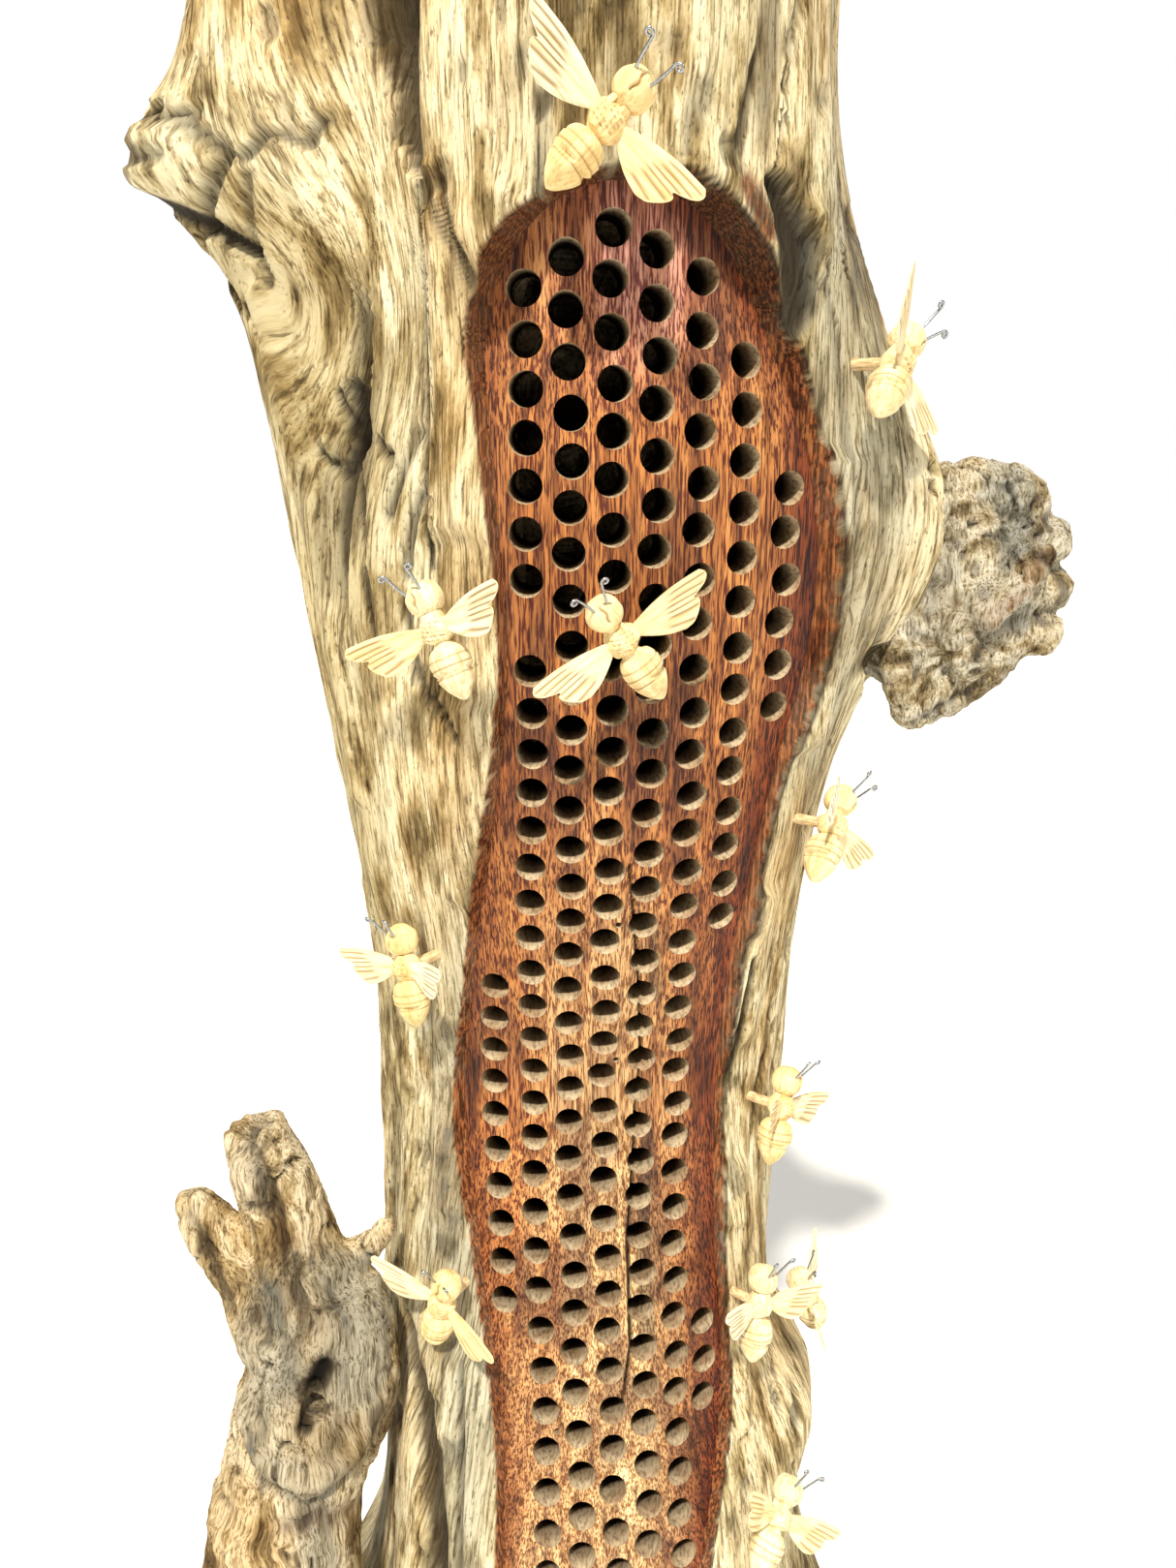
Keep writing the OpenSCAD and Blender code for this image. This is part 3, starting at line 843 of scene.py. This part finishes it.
# ---------------------------------------------------------------- the trunk
def angles(mesh):
    co = places(mesh)
    a = np.degrees(np.arctan2(co[:, 1], co[:, 0]))
    return np.where(a > BACK_SEAM, a - 360, a), co[:, 2], np.hypot(co[:, 0], co[:, 1])


def mark_weathering(mesh):
    a, z, _ = angles(mesh)
    high, g, d, black, blue, red, rib = weathering(a, z)
    broken = ease((normals(mesh)[:, 2] - 0.45) / 0.3) * (z > 940)
    g = g + (places(mesh) * (1, 1, 0.3) - g) * broken[:, None]
    cut = rim_cut(a, z, d, g)
    wall = ease(cut / 0.12)
    s0, s1 = face_span(z)
    right = ease(0.5 + (a - (s0 + s1) / 2) / 30)
    seam = 0.9 * bump(cut - 0.07, 0.07) * ease(cut / 0.03) * right * (d < 0)
    # Painted shade: the rim wall goes towards black near the top of the arch, under its overhang, and is
    # stored in the black mark with the cracks.
    shade = 0.6 * ease((z - 770) / 70) * wall * (0.5 + 0.5 * right)
    # Painted shade: low places in the relief lower the rib mark, which the finish turns dark brown.
    low = ease((-1.2 - high) / 4.5) * (1 - wall)
    mark(mesh, "grain", g * MM)
    mark(mesh, "black", unit(np.maximum(black * (1 - wall), np.maximum(seam, shade))))
    mark(mesh, "blue", unit(blue * (1 - wall)))
    # The rim wall takes the dark red-brown wall colour, partly heartwood and partly painted shade.
    mark(mesh, "red", unit(np.maximum(red, 0.94 * wall)))
    mark(mesh, "rib", unit(0.5 + 0.5 * rib - 0.8 * low))


def mark_heartwood(mesh):
    a, z, r = angles(mesh)
    d = face_inside(a, z)
    s0, s1 = face_span(z)
    p = flat(a, z)
    wander = noise(np.stack([p[:, 0] / 16, 0 * z, z / 90], -1), 111)
    right = ease(0.5 + (a - (s0 + s1) / 2) / 40)
    d = d - rim_inset(z) * right
    rim = 1 - ease((d + 7 * wander) / (14 + 20 * right * ease((800 - z) / 120)))
    mark(mesh, "pink", ease((z - 770) / 60) * bump(p[:, 0] - 14 + 10 * wander, 34) * 0.95)
    mark(mesh, "straw", bump(p[:, 0] + 2 + 14 * wander, 38) * ease((660 - z) / 260))
    streak = 0.35 * ease(wander * 2 - 0.6) * ease((720 - z) / 100)
    mark(mesh, "rim", unit(unit(rim) * (0.6 + 0.4 * right) + streak))
    crack = stroke(p, CRACK)
    stain = 0.62 * ease(0.5 + 2 * noise(np.stack([p[:, 0] / 6, 0 * z, z / 60], -1), 112))
    beside = stroke(p, [(at + 5, up, 5) for at, up, _ in CRACK])
    mark(mesh, "crack", np.maximum(crack, stain * beside))
    # How far into a bore the wall lies, which the bore wall turns into painted shade.
    mark(mesh, "deep", unit((bark_r(a, z) - carve_depth(z) - r) / TUBE_DEPTH))


shell = drilled(weathered_shell(), drill_cutter(TUBE_D + 0.3, 16))
mark_weathering(shell)
piece("root_trunk", shell, "trunk", ["trunk"], [WEATHERED_WOOD, BORE_WALL], 60)

panel = drilled(heartwood_panel(), drill_cutter(TUBE_D, 24))
mark_heartwood(panel)
piece("heartwood_face", panel, "trunk", ["trunk"], [HEARTWOOD, BORE_WALL], 35)


# ---------------------------------------------------------------- the burl and the side stem
def line_gap(p, line):
    """Distance from each place p to a line drawn on the front, with depth counted at a third, so
    that a mark bites in from where it is drawn."""
    gap = np.full(len(p), 1e9)
    front = np.array([1, 0.3, 1])
    p = p * front
    for a, b in zip(line[:-1], line[1:]):
        a, b = a * front, b * front
        t = unit(((p - a) @ (b - a)) / max((b - a) @ (b - a), 1e-9))
        gap = np.minimum(gap, np.linalg.norm(p - a - t[:, None] * (b - a), axis=1))
    return gap


def weather(mesh, marks, grain, knobs, ribs, pale, seed):
    """Roughens a wooden solid, cuts the drawn marks into it, and stores its stains and the painted shade of
    its low places. Grain is how many times longer than wide the fibres run, and those of a burl are drawn
    short."""
    p, n = places(mesh), normals(mesh)
    g = p + drift(p / 30, seed + 1, 1.5) * 6
    g = g + drift(p / 9, seed + 4, 1.0) * 1.6
    stretch = np.array([1, 1, 1 / grain])
    broad = fbm(g * stretch / 24, 3, seed + 11)
    rib = 1 - 2.2 * np.abs(noise(g * stretch / 8, seed + 21))
    fine = 1 - 2 * np.abs(noise(g * stretch / 3.2, seed + 31))
    split = unit(1 - np.abs(noise(g * stretch / 17, seed + 41)) / 0.05)
    split = split * ease(3 * noise(g / 34, seed + 42))
    pits = ease((noise(g / 5, seed + 51) - 0.45) * 4) * ease(2 * noise(g / 30, seed + 52))
    high = knobs * broad + ribs * rib + 0.4 * fine - 3.0 * split - 1.8 * pits
    black, red = unit(0.8 * split + 0.6 * pits), np.zeros(len(p))
    blue = 0.8 * ease(2.6 * (noise(g * stretch / 28, seed + 61) - pale))
    for line, width, height, dark, cold, warm in marks:
        s = bump(line_gap(p, line), width)
        high = high + height * s
        black = np.maximum(black, dark * s)
        blue = np.maximum(blue, cold * s)
        red = np.maximum(red, warm * s)
    place(mesh, p + n * high[:, None])
    short = 6.0 / grain if grain < 3 else 1.0
    mark(mesh, "grain", g * np.array([1, 1, short]) * MM)
    for name, stain in (("black", black), ("blue", blue), ("red", red)):
        mark(mesh, name, unit(stain))
    # Painted shade: low places in the relief lower the rib mark, which the finish turns dark brown.
    low = ease((-1.0 - high) / 4)
    mark(mesh, "rib", unit(0.5 + 0.5 * rib - 0.7 * low))


def lumps(parts):
    """Round lumps along lines of (x, y, z, radius), as overlapping balls."""
    bm = bmesh.new()
    for line in parts:
        for a, b in zip(line[:-1], line[1:]):
            a, b = np.array(a, float), np.array(b, float)
            count = max(2, int(np.linalg.norm(a[:3] - b[:3]) / 5))
            for t in np.linspace(0, 1, count):
                q = a + (b - a) * t
                bmesh.ops.create_icosphere(bm, subdivisions=3, radius=q[3], matrix=Matrix.Translation(q[:3]))
    return to_mesh(bm, "lumps")


# The burl as lines of (x, y, z, radius), then its marks: a line of places, its width, how far it
# stands off the surface, and its stains as above.
BURL = [
    [(176, -8, 728, 26), (192, -8, 704, 30), (190, -8, 682, 27), (178, -10, 668, 20)],
    [(164, -22, 752, 8), (178, -20, 749, 13), (196, -18, 745, 14), (204, -16, 741, 13)],
    [(204, -12, 730, 15), (217, -12, 723, 13)],
    [(204, -12, 708, 16), (221, -12, 701, 12)],
    [(204, -14, 686, 15), (219, -14, 680, 11)],
    [(190, -24, 668, 12), (170, -30, 652, 10), (156, -32, 643, 7)],
    [(160, -34, 746, 6), (150, -37, 722, 6), (144, -38, 696, 6), (144, -37, 668, 7), (152, -34, 646, 7)],
    [(206, -34, 718, 7), (196, -38, 704, 8), (184, -40, 692, 7)],
    [(170, -36, 684, 9), (178, -38, 672, 9)],
    [(120, -20, 700, 26), (150, -14, 704, 24)],
    [(166, -20, 738, 16), (158, -22, 712, 18), (156, -22, 688, 18), (160, -22, 664, 14)],
    [(140, -22, 676, 16), (158, -24, 662, 12)],
]
BURL_MARKS = [
    ([(178, -46, 720), (196, -44, 724), (210, -38, 716)], 2.2, -3.0, 0.7, 0, 0),
    ([(200, -42, 690), (186, -46, 682), (180, -46, 674)], 3.0, -4.5, 0.85, 0.3, 0),
    ([(206, -34, 718), (196, -46, 704), (184, -47, 692)], 4.5, 0.6, 0, 0, 0.35),
    ([(152, -44, 740), (143, -44, 712), (140, -44, 684)], 3.0, 1.4, 0, 0, 0),
    ([(166, -44, 736), (156, -46, 706), (160, -46, 680)], 5.0, -2.6, 0.25, 0.2, 0),
    ([(216, -26, 712), (232, -18, 712)], 2.0, -3.2, 0.6, 0.2, 0),
    ([(212, -28, 692), (228, -20, 690)], 2.0, -3.0, 0.6, 0.4, 0),
    ([(186, -40, 662), (172, -40, 652), (160, -38, 644)], 2.4, -2.2, 0.4, 0.2, 0),
    ([(146, -42, 766), (152, -40, 757), (158, -38, 750)], 3.2, -5, 0.95, 0, 0),
]
burl = modified(lumps(BURL), "REMESH", mode="VOXEL", voxel_size=1.5)
burl = modified(burl, "SMOOTH", factor=0.5, iterations=6)
weather(burl, BURL_MARKS, 1.4, 3.0, 1.1, 0.12, 300)
piece("burl", burl, "trunk", ["trunk"], [GREY_WOOD], 60)

STEM_MARKS = [
    ([(-168, -78, 466), (-165, -92, 440), (-156, -100, 405), (-144, -110, 362)], 5.5, -7.0, 0.45, 0, 0.12),
    ([(-172, -70, 462), (-164, -80, 470), (-166, -60, 466)], 6.0, -6.0, 0, 0, 0),
    ([(-132, -124, 326), (-136, -126, 318)], 6, -12, 1.6, 0, 0),
    ([(-136, -126, 314), (-142, -124, 296)], 3.4, -11, 1.6, 0, 0),
    ([(-178, -112, 300), (-166, -122, 276), (-142, -126, 262), (-120, -122, 274), (-106, -112, 300)],
     6.5, 4.5, 0, 0, 0),
    ([(-180, -110, 286), (-168, -122, 262), (-142, -126, 248), (-118, -120, 260), (-104, -108, 284)],
     3.2, -3.6, 0.55, 0.2, 0),
    ([(-141, -128, 262), (-142, -128, 232)], 1.3, -5, 1, 0, 0),
    ([(-154, -126, 232), (-140, -128, 238), (-122, -122, 222), (-112, -112, 204)], 7, -3.5, 0.35, 0, 0.3),
    ([(-160, -116, 362), (-153, -122, 342), (-150, -124, 322)], 11, -1.0, 0.15, 1.0, 0),
    ([(-182, -98, 448), (-176, -104, 424), (-166, -110, 396)], 3, -2.5, 0.5, 0.1, 0),
    ([(-198, -96, 400), (-190, -106, 380), (-182, -110, 352)], 4, -2.0, 0.5, 0.4, 0),
    ([(-164, -118, 330), (-166, -118, 300)], 1.6, -3, 0.8, 0.2, 0),
    ([(-128, -104, 360), (-116, -96, 366)], 5, -1.5, 0.6, 0, 0),
    ([(-196, -106, 392), (-184, -104, 360), (-176, -106, 340)], 4.5, -2.2, 0.3, 0.2, 0),
    ([(-204, -92, 226), (-206, -108, 220), (-196, -120, 214)], 8, 3.0, 0, 0, 0),
    ([(-200, -104, 238), (-190, -118, 232)], 3, -3.4, 0.7, 0, 0),
    ([(-176, -124, 200), (-178, -126, 140), (-182, -126, 90)], 2, -4, 0.8, 0.1, 0),
    ([(-150, -124, 180), (-146, -124, 130), (-150, -124, 84)], 3, -3, 0.4, 0.1, 0),
]
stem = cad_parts["side_stem"].data.copy()
stem.transform(Matrix.Scale(1 / MM, 4))
joined(stem, 0.02)
stem = modified(stem, "REMESH", mode="VOXEL", voxel_size=1.8)
stem = modified(stem, "SMOOTH", factor=0.5, iterations=14)
weather(stem, STEM_MARKS, 4.0, 3.0, 1.0, 0.34, 400)
piece("side_stem_wood", stem, "trunk", ["side_stem"], [STEM_WOOD], 60)


# ---------------------------------------------------------------- the carved bees
# A bee's body as half an outline: distance from its middle line, and place along it.
BODY = np.array([
    (0.0, 20.6), (3.4, 20.1), (5.9, 18.4), (7.4, 15.6), (7.8, 13.0), (7.2, 10.2), (5.6, 7.9), (3.9, 6.8),
    (4.6, 5.9), (6.4, 4.6), (7.2, 2.4), (7.2, -2.0), (6.3, -4.6), (4.2, -6.2), (4.1, -6.7), (6.6, -8.0),
    (8.2, -11.0), (8.6, -14.4), (8.1, -18.0), (6.8, -22.0), (4.7, -25.6), (2.1, -28.6), (0.0, -29.8),
])
RINGS = (-11.8, -15.4, -19.2)
# The notched end of a wing, and where its root sits in the body.
WING_END = np.array([
    (17.5, -10.6), (21.6, -9.8), (25.0, -7.4), (27.6, -4.6), (28.2, -2.6), (26.8, -1.3), (30.2, 0.0),
    (33.2, 1.4), (35.4, 3.2), (35.8, 5.2), (34.2, 7.0),
])
WING_AT = (THORAX_R - 1, 0.6, 1.5)


def bee_frame(n):
    """Turns a bee's own place (head towards +Y, away from the trunk +Z) to its place on the trunk."""
    a, z, tilt, lift = BEES[n]
    aim = Matrix.Rotation(math.radians(a), 4, "Z") @ Matrix.Rotation(math.radians(90 - lift), 4, "Y")
    return (Matrix.Translation(spot(a, z)) @ aim @ Matrix.Translation((0, 0, STAND_OFF))
            @ Matrix.Rotation(math.radians(90 - tilt), 4, "Z"))


def whittled(p, middle, size, cuts, seed, keep=0.955):
    """Flattens a round carving with knife facets."""
    for k in range(cuts):
        n = np.array([lattice(np.int64(k), np.int64(c), np.int64(5), seed) for c in range(3)])
        n = n / (np.linalg.norm(n) + 1e-9)
        over = (p - middle) @ n - keep * np.linalg.norm(n * size)
        near = np.linalg.norm((p - middle) / size, axis=1) < 1.25
        p = p - np.where(near & (over > 0), over, 0)[:, None] * n
    return p


def bee_body(n):
    steps = np.linspace(0, len(BODY) - 1, 132)
    curve = along(BODY, steps)
    r, y = np.clip(curve[:, 0], 0, None), curve[:, 1]
    for ring in RINGS:
        r = r - 0.75 * bump(y - ring, 0.34) + 0.28 * ease((y - ring + 1.6) / 1.6) * (y < ring) * (r > 1)
    bm = bmesh.new()
    verts = [bm.verts.new((float(a), float(b), 0)) for a, b in zip(r, y)]
    edges = [bm.edges.new(pair) for pair in zip(verts[:-1], verts[1:])]
    bmesh.ops.spin(bm, geom=verts + edges, cent=(0, 0, 0), axis=(0, 1, 0), angle=math.tau, steps=100,
                   use_merge=True)
    close_up(bm)
    mesh = to_mesh(bm, "bee body")
    p = places(mesh)
    p = whittled(p, np.array([0, 13, 0]), np.array([7.8, 7.6, 7.8]), 46, 31 + n, 0.965)
    p = whittled(p, np.array([0, 0, 0]), np.array([7.2, 6.2, 7.2]), 22, 61 + n, 0.94)
    p = whittled(p, np.array([0, -22, 0]), np.array([7.6, 9.0, 7.6]), 26, 91 + n, 0.93)
    top = ease((p[:, 2] - 1) / 2)
    cleft = bump(p[:, 0] - 0.5 * np.sin(p[:, 1]), 0.55) * ease((p[:, 1] - 9.5) / 1)
    cleft = cleft * ease((19 - p[:, 1]) / 2) * top
    row = np.abs((p[:, 1] * 0.92 + p[:, 0] * 0.25) / 1.75 - np.rint((p[:, 1] * 0.92 + p[:, 0] * 0.25) / 1.75))
    dash = np.abs(p[:, 0] / 2.1 - np.rint(p[:, 0] / 2.1))
    hatch = bump(row * 1.75, 0.3) * (dash < 0.34) * (np.abs(p[:, 1]) < 4) * (np.abs(p[:, 0]) < 5) * top
    ring = sum(bump(p[:, 1] - at, 0.45) for at in RINGS)
    knife = noise(p / 2.4 + n * 7, 501) * 0.12
    out = normals(mesh)
    place(mesh, p + out * (knife - 1.25 * cleft - 0.5 * hatch)[:, None])
    mark(mesh, "cut", unit(0.75 * cleft + 0.55 * hatch + 0.6 * ring))
    mark(mesh, "grain", np.stack([p[:, 0], p[:, 2], p[:, 1]], -1) * MM + n)
    mark(mesh, "tone", np.full(len(p), 0.5 + 0.5 * math.sin(2.3 * n * n + 1)))
    return mesh


def bee_wing(n, side):
    """A split of pale wood, cut to a fan with a notched end and carved veins."""
    across, out = 56, 34
    mesh, i, j = grid(across, out)
    v, u = i / across, j / out
    end = along(WING_END, v * (len(WING_END) - 1))
    root = np.stack([0 * v, -2.5 + 5.0 * v], -1)
    xy = root + (end - root) * u[:, None]
    xy[:, 1] += 1.5 * np.sin(np.pi * u) * (2 * v - 0.9)
    veins = sum(bump((v - at) * 18 * u, 0.34) for at in (0.14, 0.29, 0.42, 0.58, 0.72, 0.87))
    veins = veins * ease((u - 0.42) / 0.18) * ease((1.0 - u) / 0.04)
    rim = np.minimum(np.minimum(v, 1 - v) * 9, (1 - u) * 6)
    high = 1.0 - 0.42 * u + 0.18 * noise(np.stack([xy[:, 0] / 7, xy[:, 1] / 4, 0 * v + n + side], -1), 511)
    place(mesh, np.stack([xy[:, 0], xy[:, 1], high - 0.5 * veins - 0.45 * bump(rim, 0.5)], -1))
    mark(mesh, "cut", unit(0.85 * veins))
    mark(mesh, "tone", np.full(len(v), 0.5 + 0.5 * math.sin(1.7 * n + 2.1 * side)))
    mark(mesh, "grain", np.stack([xy[:, 1], 0 * v + n, xy[:, 0]], -1) * MM)
    bm = bmesh.new()
    bm.from_mesh(mesh)
    made = bmesh.ops.extrude_face_region(bm, geom=bm.faces[:])["geom"]
    for vert in (g for g in made if isinstance(g, bmesh.types.BMVert)):
        vert.co.z = -0.75 + 0.012 * vert.co.x
    bmesh.ops.recalc_face_normals(bm, faces=bm.faces)
    stand = Matrix.Translation(WING_AT) @ Matrix.Rotation(math.radians(-WING_RISE), 4, "Y")
    if side < 0:
        stand = Matrix.Scale(-1, 4, (1, 0, 0)) @ stand
    bm.transform(stand)
    if side < 0:
        bmesh.ops.reverse_faces(bm, faces=bm.faces)
    bm.to_mesh(mesh)
    bm.free()
    return mesh


def bee_feelers(n):
    """Two short lengths of bright wire, each ending in a small bent eye."""
    curve = bpy.data.curves.new("feelers", "CURVE")
    curve.dimensions = "3D"
    curve.bevel_depth = WIRE_D / 2
    curve.bevel_resolution = 3
    curve.use_fill_caps = True
    for side in (-1, 1):
        bow = 0.5 * math.sin(3 * n + side)
        path = [(bow * math.sin(math.pi * t), 0.35 * bow * math.sin(math.pi * t), -2 + 14.2 * t)
                for t in np.linspace(0, 1, 12)]
        path += [(1.4 * side * (1 - math.cos(t)), 0, 12.2 + 1.4 * math.sin(t) + 0.25 * t)
                 for t in np.linspace(0.3, 5.2, 18)]
        stand = (Matrix.Translation((side * 3, 15.4, 4.6)) @ Matrix.Rotation(math.radians(-side * 14), 4, "Z")
                 @ Matrix.Rotation(math.radians(-58), 4, "X"))
        spline = curve.splines.new("POLY")
        spline.points.add(len(path) - 1)
        for point, at in zip(spline.points, path):
            point.co = (*(stand @ Vector(at)), 1)
    return baked(into_scene("feelers", curve))


for n in range(len(BEES)):
    bee = f"bee_{n + 1}"
    made = [
        ("body", bee_body(n), "carved_wood", CARVED_WOOD, 30),
        ("left_wing", bee_wing(n, -1), "wing_wood", WING_WOOD, 40),
        ("right_wing", bee_wing(n, 1), "wing_wood", WING_WOOD, 40),
        ("feelers", bee_feelers(n), "steel_wire", STEEL_WIRE, 40),
    ]
    for part, mesh, slot, finish, crisp in made:
        mesh.transform(bee_frame(n))
        piece(f"{bee}_carved_{part}" if part != "feelers" else f"{bee}_wire_feelers",
              mesh, bee, [f"{bee}_{part}"], [finish], crisp)
    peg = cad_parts[f"{bee}_peg"]
    peg.data.materials.clear()
    peg.data.materials.append(DOWEL)


# ---------------------------------------------------------------- camera and light
CAMERA_AT = (0, -0.56, 0.78)
CAMERA_TILT = 72
CAMERA_LENS = 26
AMBIENT = 0.33
FLOOR_R = 9

camera = into_scene("camera", bpy.data.cameras.new("camera"))
camera.location = CAMERA_AT
camera.rotation_euler = (math.radians(CAMERA_TILT), 0, 0)
camera.data.lens = CAMERA_LENS
camera.data.sensor_width = 36
camera.data.clip_start = 0.01
scene.camera = camera
scene.view_settings.view_transform = "Standard"


def lamp(name, turned, strength, spread, tint):
    """A soft far light, turned from straight down."""
    light = bpy.data.lights.new(name, "SUN")
    light.energy = strength
    light.angle = math.radians(spread)
    light.color = paint(tint)[:3]
    into_scene(name, light).rotation_euler = [math.radians(t) for t in turned]


lamp("key", (33, 0, -12), 5.3, 4, "#FFF6E8")
lamp("right fill", (52, 0, 60), 1.0, 25, "#FFFAF2")
lamp("left fill", (52, 0, -70), 0.7, 25, "#FFF8EC")
world = bpy.data.worlds.new("studio")
scene.world = world
world.use_nodes = True
backdrop = world.node_tree.nodes["Background"]
backdrop.inputs["Color"].default_value = (1, 1, 1, 1)
seen = add(world.node_tree, "LightPath", None, "Is Camera Ray")
level = add(world.node_tree, "MapRange", None, 0, _0=seen, _3=AMBIENT, _4=1.0)
world.node_tree.links.new(level, backdrop.inputs["Strength"])

bm = bmesh.new()
bmesh.ops.create_circle(bm, cap_ends=True, segments=64, radius=FLOOR_R)
floor_mesh = to_mesh(bm, "floor")
floor_mesh.materials.append(PALE_FLOOR)
floor = into_scene("floor", floor_mesh)
